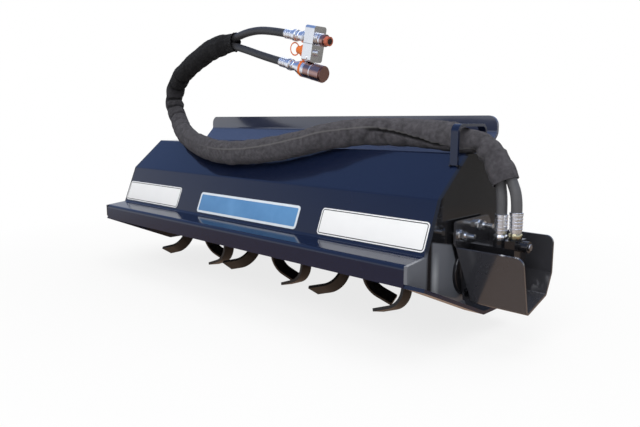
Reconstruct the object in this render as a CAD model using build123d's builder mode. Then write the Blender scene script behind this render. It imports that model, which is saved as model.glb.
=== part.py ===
"""Hydraulic rotavator attachment for a compact loader.

A bent sheet hood with two end plates carries a rotor of curved tines. A
hydraulic motor drives the rotor at the right-hand end, inside a channel guard.
The hood hangs on a loader mounting plate. Two hydraulic hoses run in a fabric
sleeve over the hood and rise in a stiff loop to two quick couplers.

Millimetres. +X runs along the rotor towards the motor, +Y points at the
loader and +Z is up. The origin is on the floor, below the middle of the
machine's own box, hoses left out.
"""
import os
from math import atan2, cos, pi, radians, sin, tan

from build123d import *

os.makedirs("parts", exist_ok=True)

# Overall sizes
hood_width = 1240
hood_sheet = 5
end_sheet = 8
mount_sheet = 8
skid_bar = 8
skid_width = 40
guard_reach = 160
loader_plate_width = 1156

# Running and seating clearances
gap = 0.3
shaft_clearance = 0.05

# Side profile of the hood: depth behind the lip and height above the floor
lip_bottom = 145
lip_top = 190
ledge_depth = 68
ledge_height = 197
steep_depth = 113
steep_height = 311
slope_depth = 218
deck_depth = 375
deck_height = 401
hood_bend = 10

# Loader mounting plate, measured from the deck's rear edge
fold_rise = 42
fold_reach = 40
hook_rise = 41
plate_heel = 50
heel_reach = 38
plate_bend = 12
plate_corner = 25
slot_spread = 1010
slot_length = 64
slot_width = 16

# Skids
skid_heel_depth = 236
skid_back_depth = 368
skid_height = 46
skid_bend = 20

# Rotor: three pairs of flanges, the two of a pair turned apart
rotor_depth = 221
rotor_radius = 143.5
tube_radius = 38
tube_play = 12
shaft_radius = 20
shaft_hole = 26
flange_radius = 66
flange_sides = 8
flange_sheet = 10
flange_start = 225
flange_pitch = 176
flange_turns = (142, 172, 136, 172, 141, 164)
hand_turn = 59
tine_bar = 8
tine_width = 36
tine_bend = 50
tine_curl = 70
tine_blade = 40
tine_slant = 7
tine_root = 44

# Bearings
bearing_depth = 22
bearing_socket = 16
thin_bearing_depth = 8
bearing_radius = 55
bearing_round = 3

# Motor guard and motor
guard_sheet = 5
guard_bend = 9
guard_mouth_round = 17
guard_cut_top = 10
guard_cut_bottom = 37
stud = 11
stud_reach = 48
nut = 10.5
nut_depth = 11
washer_radius = 12
washer = 3
motor_flange = 76
motor_flange_sheet = 12
motor_radius = 39
motor_ring_radius = 36.5
motor_ring = 14
motor_length = 88
motor_cover = 12
port_block_start = 22
port_block_end = 124
port_block_width = 52
port_top = 212
port_step = 102
port_step_top = 228
port_reach = (79, 112)
boss_radius = 15
boss_top = (224, 230)
plug_radius = 12
plug_reach = 19
plug_rise = 4

# Hoses
hose_diameter = 23
sleeve_diameter = 50
hose_spread = 27
mouth_spread = 26
ferrule_diameter = 28
collar_diameter = 33
nut_top = (243, 250)
ferrule_top = (278, 285)

# Couplers, lengths along each hose's end
ferrule_run = 36
collar_run = 10
shank_run = 28
shank_diameter = 26
coupler_lead = 23
neck_diameter = 28
big_body_diameter = 46
block_thickness = 36
block_width = 46
block_height = 96
block_round = 8
block_drop = 14
coupler_sections = (
    ((10, 33), (13, 26), (36, neck_diameter), (26, 33), (15, 25)),
    ((10, 33), (10, 40), (80, big_body_diameter), (4, 40)),
)
cap_drop = 37
cap_run = 20
cap_diameter = 34
cap_stem_diameter = 22
knob_diameter = 18
knob_run = 10

# Where things stand in the row frame, centred on the machine's box
plate_depth = deck_depth + fold_reach + mount_sheet
hood_x = (bearing_depth - guard_reach) / 2
left_x = hood_x - hood_width / 2
right_x = hood_x + hood_width / 2
front_y = -plate_depth / 2
rotor_y = front_y + rotor_depth
rotor_z = rotor_radius
guard_x = right_x + thin_bearing_depth
motor_x = guard_x + guard_sheet


def at(depth, height):
    """Point of the side profile, in the YZ sketch plane."""
    return (front_y + depth, height)


def from_left(x, depth, rise):
    """Point measured from the left end of the hood's top lip."""
    return (left_x + x, front_y + depth, lip_top + rise)


def from_right(x, depth, rise):
    """Point measured from the right end of the hood's top lip."""
    return (right_x + x, front_y + depth, lip_top + rise)


def tube_radii(points):
    """One bend radius for each inner point of a route."""
    radii = []
    for before, here, after in zip(points, points[1:], points[2:]):
        run_in = Vector(*here) - Vector(*before)
        run_out = Vector(*after) - Vector(*here)
        half_turn = radians(run_in.get_angle(run_out)) / 2
        radii.append(0.45 * min(run_in.length, run_out.length) / tan(half_turn))
    return radii


def hose(name, points, diameter, sleeve_face=None):
    """Plain tube of one hose along its route, cut off at the sleeve's face."""
    radii = tube_radii(points)
    with BuildPart() as tube:
        with BuildLine() as route:
            FilletPolyline(*points, radius=radii)
        start = Plane(origin=route.wires()[0] @ 0, z_dir=route.wires()[0] % 0)
        with BuildSketch(start):
            Circle(diameter / 2)
        sweep()
        length = route.wires()[0].length
        ratio = tube.part.volume / (pi * diameter**2 / 4 * length)
        if sleeve_face:
            split(bisect_by=sleeve_face, keep=Keep.TOP)
    print(name, "length", round(length), "volume ratio", round(ratio, 4))
    print("   radii", [round(r) for r in radii])
    save(tube.part, name)


def save(shape, name):
    """Label one finished piece and write its STEP file."""
    shape.label = name
    export_step(shape, f"parts/{name}.step")


# Hood: one bent sheet between the end plates, with its rear wall
rear_wall_bottom = plate_heel + plate_bend
with BuildPart() as hood:
    with BuildSketch(Plane.YZ.offset(left_x + end_sheet)):
        with BuildLine():
            FilletPolyline(
                at(0, lip_bottom),
                at(0, lip_top),
                at(ledge_depth, ledge_height),
                at(steep_depth, steep_height),
                at(slope_depth, deck_height),
                at(deck_depth, deck_height),
                at(deck_depth, rear_wall_bottom),
                radius=hood_bend,
            )
            offset(amount=hood_sheet, side=Side.RIGHT)
        make_face()
    extrude(amount=hood_width - 2 * end_sheet)
save(hood.part, "hood")

# Mounting plate: heel flange, main plate, hook flange and top edge
with BuildPart() as mount_plate:
    with BuildSketch(Plane.YZ.offset(hood_x - loader_plate_width / 2)):
        with BuildLine():
            FilletPolyline(
                at(deck_depth + heel_reach, 0),
                at(deck_depth, plate_heel),
                at(deck_depth, deck_height),
                at(deck_depth + fold_reach, deck_height + fold_rise),
                at(deck_depth + fold_reach, deck_height + fold_rise + hook_rise),
                radius=plate_bend,
            )
            offset(amount=mount_sheet, side=Side.RIGHT)
        make_face()
    extrude(amount=loader_plate_width)
    with BuildSketch(Plane.XY):
        with Locations((hood_x, front_y + deck_depth + heel_reach / 2)):
            with GridLocations(slot_spread, 0, 2, 1):
                Rectangle(slot_length, slot_width)
    extrude(amount=plate_heel + plate_bend, mode=Mode.SUBTRACT)
    upright = mount_plate.edges().filter_by(Axis.Y).group_by(Axis.Z)[-1]
    fillet(upright, radius=plate_corner)
save(mount_plate.part, "mount_plate")


nose_tilt = atan2(lip_bottom - skid_height, skid_heel_depth)


def end_plate(name, inner_x):
    """One end plate, cut to the hood's side profile, with the shaft's hole."""
    with BuildPart() as plate:
        with BuildSketch(Plane.YZ.offset(inner_x)):
            with BuildLine():
                Polyline(
                    at(deck_depth, skid_height + skid_bar),
                    at(deck_depth, deck_height),
                    at(slope_depth, deck_height),
                    at(steep_depth, steep_height),
                    at(ledge_depth, ledge_height),
                    at(0, lip_top),
                    at(0, lip_bottom + skid_bar / cos(nose_tilt)),
                )
                FilletPolyline(
                    at(0, lip_bottom + skid_bar / cos(nose_tilt)),
                    at(skid_heel_depth + skid_bar * tan(nose_tilt / 2), skid_height + skid_bar),
                    at(deck_depth, skid_height + skid_bar),
                    radius=skid_bend - skid_bar,
                )
            make_face()
            with Locations((rotor_y, rotor_z)):
                Circle(shaft_hole, mode=Mode.SUBTRACT)
        extrude(amount=end_sheet)
    save(plate.part, name)


end_plate("end_plate_left", left_x)
end_plate("end_plate_right", right_x - end_sheet)


def skid(name, start_x, width):
    """Bent bar below an end plate: sloping nose and level heel."""
    with BuildPart() as bar:
        with BuildSketch(Plane.YZ.offset(start_x)):
            with BuildLine():
                FilletPolyline(
                    at(0, lip_bottom),
                    at(skid_heel_depth, skid_height),
                    at(skid_back_depth, skid_height),
                    radius=skid_bend,
                )
                offset(amount=skid_bar, side=Side.LEFT)
            make_face()
        extrude(amount=width)
    save(bar.part, name)


skid("skid_left", left_x, end_sheet)
skid("skid_right", right_x - end_sheet, end_sheet + skid_width)

# Rotor tube with its welded flanges and stub shafts
rotor_axis = Plane(origin=(left_x, rotor_y, rotor_z), z_dir=(1, 0, 0), x_dir=(0, 1, 0))
tube_start = end_sheet + tube_play
shaft_start = bearing_socket - bearing_depth - 2
shaft_end = hood_width + thin_bearing_depth - 2
flange_xs = [flange_start + i * flange_pitch for i in range(len(flange_turns))]

with BuildPart() as rotor_tube:
    with BuildSketch(rotor_axis.offset(tube_start)):
        Circle(tube_radius)
    extrude(amount=hood_width - 2 * tube_start)
    with BuildSketch(rotor_axis.offset(shaft_start)):
        Circle(shaft_radius)
    extrude(amount=shaft_end - shaft_start)
    for x in flange_xs:
        with BuildSketch(rotor_axis.offset(x - flange_sheet / 2)):
            RegularPolygon(flange_radius, flange_sides)
        extrude(amount=flange_sheet)
save(rotor_tube.part, "rotor_tube")


def curved_tine(hand):
    """One tine, standing along +Z at the rotor's axis and bent to one side.

    Its tip is cut slantwise: the long edge is at +Y, and the corner there
    touches the rotor's outer circle.
    """
    curl = radians(tine_curl)
    tip_height = (rotor_radius**2 - (tine_width / 2) ** 2) ** 0.5
    face = flange_sheet / 2 + gap
    long_run = tine_blade + tine_slant
    bend_end_height = tip_height - long_run * cos(curl)
    bend_start_height = bend_end_height - tine_bend * sin(curl)
    bend_end = face + tine_bend * (1 - cos(curl))
    tip_reach = bend_end + long_run * sin(curl)
    with BuildPart() as tine:
        with BuildSketch(Plane.XZ.offset(-tine_width / 2)):
            with BuildLine():
                Line((hand * face, tine_root), (hand * face, bend_start_height))
                RadiusArc(
                    (hand * face, bend_start_height),
                    (hand * bend_end, bend_end_height),
                    hand * tine_bend,
                )
                Line((hand * bend_end, bend_end_height), (hand * tip_reach, tip_height))
                offset(amount=tine_bar, side=Side.RIGHT if hand > 0 else Side.LEFT)
            make_face()
        extrude(amount=tine_width)
        slant = Plane(
            origin=(hand * tip_reach, tine_width / 2, tip_height),
            z_dir=(hand * tine_width * sin(curl), -tine_slant, tine_width * cos(curl)),
        )
        split(bisect_by=slant, keep=Keep.BOTTOM)
    return tine.part


def tine_set(name, hand, turn):
    """The tines of one hand, two to each flange."""
    tine = curved_tine(hand)
    with BuildPart() as tines:
        for x, flange_turn in zip(flange_xs, flange_turns):
            for half_turn in (0, 180):
                spot = Location((left_x + x, rotor_y, rotor_z), (flange_turn + turn + half_turn, 0, 0))
                with Locations(spot):
                    add(tine)
    save(tines.part, name)


tine_set("tines_left_hand", -1, 0)
tine_set("tines_right_hand", 1, hand_turn)


def bearing_housing(name, face_x, outward, depth, socket):
    """Round bearing block bolted to an end plate."""
    plane = Plane(origin=(face_x, rotor_y, rotor_z), z_dir=(outward, 0, 0), x_dir=(0, 1, 0))
    with BuildPart() as housing:
        with BuildSketch(plane):
            Circle(bearing_radius)
        extrude(amount=depth)
        with BuildSketch(plane):
            Circle(shaft_radius + shaft_clearance)
        extrude(amount=socket, mode=Mode.SUBTRACT)
        outer_face = housing.faces().sort_by(Axis.X)[-1 if outward > 0 else 0]
        fillet(outer_face.outer_wire().edges(), bearing_round)
    save(housing.part, name)


bearing_housing("bearing_housing_left", left_x, -1, bearing_depth, bearing_socket)
bearing_housing("bearing_housing_right", right_x, 1, thin_bearing_depth, thin_bearing_depth)

# Motor guard: base plate and bent channel round the motor
bolt_spots = ((170, 232), (246, 245), (282, 176))
guard_base = (
    at(152, 258),
    at(152, 214),
    at(176, 190),
    at(198, 84),
    at(276, 109),
    at(299, 154),
    at(299, 250),
    at(288, 262),
    at(156, 262),
)
guard_front_top = (160, 204)
guard_front_bottom = (190, 79)
guard_back_top = (302, 232)
with BuildPart() as motor_guard:
    with BuildSketch(Plane.YZ.offset(guard_x)):
        with BuildLine():
            FilletPolyline(
                at(*guard_front_top),
                at(*guard_front_bottom),
                at(279, 106),
                at(302, 152),
                at(*guard_back_top),
                radius=guard_bend,
            )
            offset(amount=guard_sheet, side=Side.LEFT)
        make_face()
    extrude(amount=right_x + guard_reach - guard_x)
    mouth_edges = motor_guard.edges().group_by(Axis.X)[-1].filter_by(GeomType.LINE)
    fillet(mouth_edges.filter_by(lambda e: e.length < 2 * guard_sheet), radius=guard_mouth_round)
    with BuildSketch(Plane.XZ.offset(-front_y - guard_front_bottom[0] - guard_bend)):
        Polygon(
            (guard_x - 1, guard_front_top[1] + 1),
            (right_x + guard_cut_top, guard_front_top[1] + 1),
            (right_x + guard_cut_bottom, guard_front_bottom[1] - guard_bend),
            (guard_x - 1, guard_front_bottom[1] - guard_bend),
            align=None,
        )
    extrude(amount=guard_front_bottom[0], mode=Mode.SUBTRACT)
    with BuildSketch(Plane.YZ.offset(guard_x)):
        Polygon(*guard_base, align=None)
        with Locations(*[at(*spot) for spot in bolt_spots]):
            Circle(stud / 2 + gap, mode=Mode.SUBTRACT)
        with Locations((rotor_y, rotor_z)):
            Circle(shaft_hole, mode=Mode.SUBTRACT)
    extrude(amount=guard_sheet)
save(motor_guard.part, "motor_guard")

# Hydraulic motor: square flange, stacked rings and stepped port block on top
motor_plane = Plane(origin=(motor_x, rotor_y, rotor_z), z_dir=(1, 0, 0), x_dir=(0, 1, 0))
port_x = [right_x + reach for reach in port_reach]
body_start = motor_flange_sheet
body_end = motor_x + motor_length - right_x
ring_start = (body_start + motor_length - motor_ring) / 2
with BuildPart() as motor:
    with BuildSketch(motor_plane):
        RectangleRounded(motor_flange, motor_flange, motor_flange / 8)
    extrude(amount=motor_flange_sheet)
    with BuildSketch(motor_plane.offset(body_start)):
        Circle(motor_radius)
    extrude(amount=ring_start - body_start)
    with BuildSketch(motor_plane.offset(ring_start)):
        Circle(motor_ring_radius)
    extrude(amount=motor_ring)
    with BuildSketch(motor_plane.offset(ring_start + motor_ring)):
        Circle(motor_radius)
    extrude(amount=motor_length - ring_start - motor_ring)
    with BuildSketch(Plane.XY.offset(rotor_z)):
        with Locations((right_x + (port_block_start + body_end) / 2, rotor_y)):
            Rectangle(body_end - port_block_start, port_block_width)
    extrude(amount=port_top - rotor_z)
    with BuildSketch(Plane.XY.offset(rotor_z + motor_radius)):
        with Locations((right_x + (port_block_start + port_block_end) / 2, rotor_y)):
            Rectangle(port_block_end - port_block_start, port_block_width)
    extrude(amount=port_top - rotor_z - motor_radius)
    with BuildSketch(Plane.XY.offset(port_top)):
        with Locations((right_x + (port_step + port_block_end) / 2, rotor_y)):
            Rectangle(port_block_end - port_step, port_block_width)
    extrude(amount=port_step_top - port_top)
    for x, top in zip(port_x, boss_top):
        with BuildSketch(Plane.XY.offset(port_top - 1)):
            with Locations((x, rotor_y)):
                Circle(boss_radius)
        extrude(amount=top - port_top + 1)
    plug_height = port_top + plug_rise
    with BuildSketch(Plane.YZ.offset(right_x + port_block_end)):
        with Locations((rotor_y, plug_height)):
            Circle(plug_radius)
    extrude(amount=plug_reach)
save(motor.part, "hydraulic_motor")

with BuildPart() as end_cover:
    with BuildSketch(motor_plane.offset(motor_length)):
        Circle(motor_ring_radius)
    extrude(amount=motor_cover)
    fillet(end_cover.faces().sort_by(Axis.X)[-1].edges(), bearing_round)
save(end_cover.part, "motor_end_cover")

with BuildPart() as mount_bolts:
    for spot in bolt_spots:
        with BuildSketch(Plane(origin=(right_x, *at(*spot)), z_dir=(1, 0, 0))):
            Circle(stud / 2)
        extrude(amount=stud_reach)
        with BuildSketch(Plane(origin=(motor_x, *at(*spot)), z_dir=(1, 0, 0))):
            Circle(washer_radius)
        extrude(amount=washer)
        with BuildSketch(Plane(origin=(motor_x + washer, *at(*spot)), z_dir=(1, 0, 0))):
            RegularPolygon(nut, 6)
        extrude(amount=nut_depth)
save(mount_bolts.part, "mount_bolts")

# Port adapters and crimped ferrules of the two lower hoses
for number in (1, 2):
    x = port_x[number - 1]
    top = nut_top[number - 1]
    with BuildPart() as adapter:
        with BuildSketch(Plane.XY.offset(boss_top[number - 1])):
            with Locations((x, rotor_y)):
                RegularPolygon(ferrule_diameter / 2, 6)
        extrude(amount=top - boss_top[number - 1])
    save(adapter.part, f"port_adapter_{number}")
    with BuildPart() as ferrule:
        with BuildSketch(Plane.XY.offset(top)):
            with Locations((x, rotor_y)):
                Circle(ferrule_diameter / 2)
        extrude(amount=ferrule_top[number - 1] - top)
    save(ferrule.part, f"lower_ferrule_{number}")

# Hose guide: flat strap bent over the sleeve, standing on the hood
guide_x = right_x - 18
guide_strap = 18
guide_sheet = 6
guide_top = deck_height + sleeve_diameter + 8
guide_front = 190
guide_back = 300
guide_bend = 12
slope_rise = (deck_height - steep_height) / (slope_depth - steep_depth)
guide_foot = deck_height - (slope_depth - guide_front) * slope_rise
with BuildPart() as hose_guide:
    with BuildSketch(Plane.YZ.offset(guide_x - guide_strap / 2)):
        with BuildLine():
            FilletPolyline(
                at(guide_front, guide_foot),
                at(guide_front, guide_top),
                at(guide_back, guide_top),
                at(guide_back, deck_height),
                radius=guide_bend,
            )
            offset(amount=guide_sheet, side=Side.LEFT)
        make_face()
    extrude(amount=guide_strap)
    with BuildSketch(Plane.YZ.offset(guide_x - guide_strap)):
        Polygon(
            at(0, 0),
            at(deck_depth, 0),
            at(deck_depth, deck_height),
            at(slope_depth, deck_height),
            at(steep_depth, steep_height),
            align=None,
        )
    extrude(amount=2 * guide_strap, mode=Mode.SUBTRACT)
save(hose_guide.part, "hose_guide")

# Sleeve, from its mouth above the motor to its end in the air
sleeve_route = [
    from_right(85, 222, 156),
    from_right(66, 225, 194),
    from_right(22, 235, 237),
    from_right(-45, 246, 237.5),
    from_right(-120, 253, 243),
    from_right(-212, 255, 248),
    from_left(932, 235, 247),
    from_left(840, 195, 235),
    from_left(746, 163, 209),
    from_left(644, 141, 191),
    from_left(540, 131, 182),
    from_left(440, 133, 183),
    from_left(342, 149, 198),
    from_left(250, 176, 219),
    from_left(174, 205, 237),
    from_left(112, 232, 260),
    from_left(62, 254, 288),
    from_left(26, 264, 318),
    from_left(15, 268, 350),
    from_left(24, 270, 392),
    from_left(58, 271, 432),
    from_left(108, 271, 458),
    from_left(162, 271, 481),
    from_left(226, 271, 504),
    from_left(300, 271, 523),
    from_left(373, 271, 523),
]
hose("hose_sleeve", sleeve_route, sleeve_diameter)

# Lower hoses, from the ferrules up into the sleeve's mouth
mouth = Vector(*sleeve_route[0])
mouth_axis = (Vector(*sleeve_route[1]) - mouth).normalized()
mouth_face = Plane(origin=mouth, z_dir=mouth_axis * -1)
mouth_side = mouth_axis.cross(Vector(0, 1, 0)).normalized()
if mouth_side.X < 0:
    mouth_side = mouth_side * -1
lower_middles = (from_right(79, 221, 119), from_right(112, 221, 127))
for number, side in ((1, -1), (2, 1)):
    foot = Vector(port_x[number - 1], rotor_y, ferrule_top[number - 1])
    middle = Vector(*lower_middles[number - 1])
    inlet = mouth + mouth_side * (side * mouth_spread / 2)
    end = inlet + (inlet - middle).normalized() * hose_diameter / 2
    hose(f"lower_hose_{number}", [tuple(foot), tuple(middle), tuple(end)], hose_diameter, mouth_face)

# Upper hoses with their ferrules and quick couplers
tail = Vector(*sleeve_route[-1])
tail_axis = (tail - Vector(*sleeve_route[-2])).normalized()
tail_face = Plane(origin=tail, z_dir=tail_axis)
tail_rise = Vector(0, 0, 1)
upper_routes = (
    [from_left(440, 271, 548), from_left(520, 271, 546), from_left(607, 271, 527)],
    [from_left(430, 271, 494), from_left(505, 271, 471), from_left(584, 271, 450)],
)


def fitting(name, base, along, sections):
    """Round fitting along a hose's end, from (length, diameter) sections."""
    start = 0
    with BuildPart() as part:
        for run, diameter in sections:
            with BuildSketch(Plane(origin=base + along * start, z_dir=along)):
                Circle(diameter / 2)
            extrude(amount=run)
            start += run
    save(part.part, name)
    return base + along * start


block_leads = []
for number, side in ((1, 1), (2, -1)):
    outlet = tail + tail_rise * (side * hose_spread / 2)
    start_point = outlet + (outlet - Vector(*upper_routes[number - 1][0])).normalized() * hose_diameter / 2
    points = [tuple(start_point), *upper_routes[number - 1]]
    hose(f"upper_hose_{number}", points, hose_diameter, tail_face)
    root = Vector(*points[-1])
    along = (root - Vector(*points[-2])).normalized()
    ferrule_sections = (
        (ferrule_run, ferrule_diameter),
        (collar_run, collar_diameter),
        (shank_run, shank_diameter),
    )
    coupler_root = fitting(f"upper_ferrule_{number}", root, along, ferrule_sections)
    fitting(f"quick_coupler_{number}", coupler_root, along, coupler_sections[number - 1])
    block_leads.append((coupler_root, along))

# Clamp block round both couplers, square to the upper one
coupler_root, along = block_leads[0]
down = along.cross(Vector(0, 1, 0)).normalized()
if down.Z > 0:
    down = down * -1
block_start = coupler_root + along * coupler_lead
block_plane = Plane(origin=block_start + down * block_drop, x_dir=(0, 1, 0), z_dir=along)
with BuildPart() as bracket:
    with BuildSketch(block_plane):
        RectangleRounded(block_width, block_height, block_round)
    extrude(amount=block_thickness)
    for (base, axis), bore in zip(block_leads, (neck_diameter, big_body_diameter)):
        with BuildSketch(Plane(origin=base, z_dir=axis)):
            Circle(bore / 2 + gap)
        extrude(amount=coupler_lead + 2 * block_thickness, mode=Mode.SUBTRACT)
    with BuildSketch(Plane(origin=block_start + along * block_thickness + down * cap_drop, z_dir=along)):
        Circle(knob_diameter / 2)
    extrude(amount=knob_run)
save(bracket.part, "coupler_bracket")

# Rubber dust cap resting against the clamp block
cap_base = block_start + down * cap_drop
fitting("dust_cap", cap_base, along * -1, ((cap_run, cap_diameter), (cap_run, cap_stem_diameter)))
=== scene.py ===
"""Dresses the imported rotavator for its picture.

Paint, hose sleeve, hoses, couplings, blank labels, welds and fasteners are made
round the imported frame, in metres, in the frame's own axes.
"""

from math import atan2, cos, degrees, pi, radians, sin

import bmesh
import bpy
from mathutils import Matrix, Vector, noise


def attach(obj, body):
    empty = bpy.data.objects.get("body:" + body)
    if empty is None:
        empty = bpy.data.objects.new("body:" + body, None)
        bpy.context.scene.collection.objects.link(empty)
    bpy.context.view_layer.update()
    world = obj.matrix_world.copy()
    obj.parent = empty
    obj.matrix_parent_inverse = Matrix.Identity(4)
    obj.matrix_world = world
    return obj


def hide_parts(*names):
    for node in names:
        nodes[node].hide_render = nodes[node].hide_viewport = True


bl_info = {
    "name": "Rotavator dressing",
    "version": (1, 0, 0),
    "blender": (4, 5, 0),
    "location": "View3D > Sidebar > Rotavator",
    "description": "Paint, hoses, labels, welds and fasteners for the packed rotavator",
    "category": "Object",
}

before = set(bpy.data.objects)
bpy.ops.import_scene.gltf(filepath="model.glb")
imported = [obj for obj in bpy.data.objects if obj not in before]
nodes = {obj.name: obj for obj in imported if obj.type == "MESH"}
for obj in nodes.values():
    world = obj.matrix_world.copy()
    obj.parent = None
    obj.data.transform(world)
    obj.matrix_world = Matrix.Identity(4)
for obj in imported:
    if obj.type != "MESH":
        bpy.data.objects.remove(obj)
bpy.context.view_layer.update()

FRAME_BODY = "frame"
ROTOR_BODY = "rotor"

# Angle from which an edge is shaded sharp, and broken on the solids, in degrees
SHARP_EDGE = 40

# Camera, fitted to the photograph's perspective
CAMERA_SPOT = (1.222, -1.1475, 0.474)
CAMERA_TURN = 44.13
CAMERA_DIP = 8.9
CAMERA_LENS = 33.75
CAMERA_SENSOR = 36.0

# Lamps, as (size, place), and the place that they are aimed at
KEY_LAMP = (2.2, (1.2, -2.4, 2.7))
TOP_LAMP = (2.6, (0.4, 0.9, 3.2))
LAMP_AIM = (0, 0, 0.3)

# Floor: its half side, its tone, and how the camera's share of plain white rises from
# the object outwards
FLOOR_REACH = 30
FLOOR_TONE = (0.80, 0.80, 0.80)
CLEAR_SPAN = (0.5, 1.6)
CLEAR_START = 0.80

# Ground and sky that gloss sees: brown near the object, then bright in front on the
# left and dim behind on the right, and a sky that turns blue as it climbs
GROUND_NEAR = (0.40, 0.28, 0.21)
GROUND_BRIGHT = (0.74, 0.80, 0.92)
GROUND_DIM = (0.22, 0.21, 0.20)
GROUND_NEAR_SPAN = (0.9, 2.4)
GROUND_SIDE_SPAN = (-4.0, 0.3)
SKY_FOOT = (1.0, 1.0, 1.0)
SKY_TOP = (0.19, 0.29, 0.57)
SKY_SPAN = (0.03, 0.50)

# Hose routes, the same points as the solids follow, and how far a hose reaches into
# the sleeve
SLEEVE_ROUTE = [
    (0.636, 0.0105, 0.346), (0.617, 0.0135, 0.384), (0.573, 0.0235, 0.427),
    (0.506, 0.0345, 0.4275), (0.431, 0.0415, 0.433), (0.339, 0.0435, 0.438),
    (0.243, 0.0235, 0.437), (0.151, -0.0165, 0.425), (0.057, -0.0485, 0.399),
    (-0.045, -0.0705, 0.381), (-0.149, -0.0805, 0.372), (-0.249, -0.0785, 0.373),
    (-0.347, -0.0625, 0.388), (-0.439, -0.0355, 0.409), (-0.515, -0.0065, 0.427),
    (-0.577, 0.0205, 0.450), (-0.627, 0.0425, 0.478), (-0.663, 0.0525, 0.508),
    (-0.674, 0.0565, 0.540), (-0.665, 0.0585, 0.582), (-0.631, 0.0595, 0.622),
    (-0.581, 0.0595, 0.648), (-0.527, 0.0595, 0.671), (-0.463, 0.0595, 0.694),
    (-0.389, 0.0595, 0.713), (-0.316, 0.0595, 0.713),
]
LOWER_ROUTES = [
    [(0.630, 0.0095, 0.278), (0.630, 0.0095, 0.309), (0.6244, 0.0105, 0.3402)],
    [(0.663, 0.0095, 0.285), (0.663, 0.0095, 0.317), (0.6476, 0.0105, 0.3518)],
]
UPPER_ROUTES = [
    [(-0.316, 0.0595, 0.7265), (-0.249, 0.0595, 0.738), (-0.169, 0.0595, 0.736),
     (-0.082, 0.0595, 0.717)],
    [(-0.316, 0.0595, 0.6995), (-0.259, 0.0595, 0.684), (-0.184, 0.0595, 0.661),
     (-0.105, 0.0595, 0.640)],
]
HOSE_WIDTH = 0.023
HOSE_TUCK = 0.0115

# Sleeve: its sides, the girth of its UV map, and how its open ends turn in, as
# (shrink, depth) steps
SLEEVE_SIDES = 72
SLEEVE_GIRTH = 0.18
SLEEVE_END_STEPS = ((0.90, 0.0), (0.88, 0.011))
RIM_REACH = 0.05
BEND_ROWS = 4

# Spans along the sleeve, in metres from its mouth over the motor. A share rises from 0
# to 1 over a span, or falls where the span is given backwards
CUFF_SPAN = (0.066, 0.060)
FLAP_START_SPAN = (0.06, 0.075)
FLAP_FADE_SPAN = (0.85, 1.05)
NECK_SPAN = (0.125, 0.165)
DECK_SPANS = ((0.10, 0.16), (1.02, 1.15))
# The slit is sunk and also painted dark, as painted shade in it
SLIT_SPANS = ((0.17, 0.22), (0.38, 0.44))
# Over the shade spans the upper loop is painted darker, as painted shade
SHADE_SPANS = ((1.28, 1.38), (1.42, 1.52))
GUIDE_X = 0.533
GUIDE_HALF = 0.045
GUIDE_END = 0.4
# The same from its upper end
GATHER_SPAN = (0.075, 0.035)
FLARE_SPAN = (0.012, 0.0)

# Grain of small metal and rubber parts, as ripple, peel and tone sizes
FINE_GRAIN = (60, 900, 60)

# Couplings: (length, diameter) of the shell, collar and shank of an upper hose, the
# ribs of a crimped shell, the heights of the lower shells and nuts, and the places of
# the metals in a coupling's list
FERRULE_STEPS = [(0.036, 0.028), (0.010, 0.033), (0.028, 0.026)]
FERRULE_LENGTH = sum(length for length, _ in FERRULE_STEPS)
FERRULE_NUT = 0.0485
CRIMP_RIBS = 5
CRIMP_DEPTH = 0.0018
LOWER_SHELL_FEET = (0.243, 0.250)
LOWER_NUT_FEET = (0.224, 0.230)
ZINC, YELLOW, ORANGE = range(3)

# Quick couplers: root and direction, then rings as (start, length, diameter, metal),
# then the band of painted brown reflection from and to, start of the red end and radius of
# the open bore, which is painted dark as shade
COUPLER_AXES = [((-0.0097, 0.0595, 0.7012), (0.977, 0.0, -0.213)),
                ((-0.0335, 0.0595, 0.6210), (0.9665, 0.0, -0.257))]
COUPLER_RINGS = [
    ((0.002, 0.006, 0.0345, ZINC), (0.060, 0.005, 0.0342, ZINC), (0.068, 0.006, 0.0342, ZINC)),
    ((0.0195, 0.009, 0.0472, ORANGE), (0.030, 0.005, 0.0468, ZINC),
     (0.062, 0.004, 0.0468, ZINC)),
]
COUPLER_RING_SIDES = (32, 40)
COUPLER_MARKS = [(0.0605, 0.086, 0.088, 0.0085), (0.040, 0.110, 0.116, 0.0135)]

# Clamp block on the first coupler: its start from the ferrule, its middle from there,
# drops to its seam and its screws, its section and the screws' place on its side. Then
# the dust cap's drop, its run and its stem's run
BLOCK_START = 0.023
BLOCK_MIDDLE = 0.018
BLOCK_SEAM = 0.014
BLOCK_SCREW = 0.052
BLOCK_SECTION = (0.0364, 0.0464)
BLOCK_SIDE = 0.0228
CAP_DROP = 0.037
CAP_RUN = 0.020
CAP_STEM = 0.020

# Pale patch on the right end plate, taken for light thrown by the guard's front wall:
# its slanting top and edge, its streak and the dark band through it
PATCH_TOP = 0.2013
PATCH_TOP_SLOPE = 0.205
PATCH_EDGE = 0.0448
PATCH_EDGE_SLOPE = 0.452
PATCH_FADE = 0.004
PATCH_COLOUR = (0.150, 0.160, 0.185)
STREAK_Y = -0.113
STREAK_HALF = 0.016
STREAK_DROP = (0.205, 0.155)
STREAK_COLOUR = (0.40, 0.42, 0.45)
BAND_Y = -0.135
BAND_SPAN = (0.004, 0.013)

# Hood: its ends, and the steep face that carries the labels
HOOD_LEFT = -0.689
HOOD_RIGHT = 0.551
HOOD_FRONT = -0.2115
STEEP_FOOT = (0.068, 0.197)
STEEP_TOP = (0.113, 0.311)

# Labels: left, right, low and high edges on the steep face, from the hood's left end
LABEL_PLACES = {
    "label_left": (0.006, 0.318, 0.008, 0.073),
    "label_right": (0.922, 1.229, 0.008, 0.073),
    "decal_middle": (0.424, 0.848, 0.008, 0.069),
}
LABEL_CORNER = 0.009
LABEL_SHEET = 0.0005
LABEL_GAP = 0.0006

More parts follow.
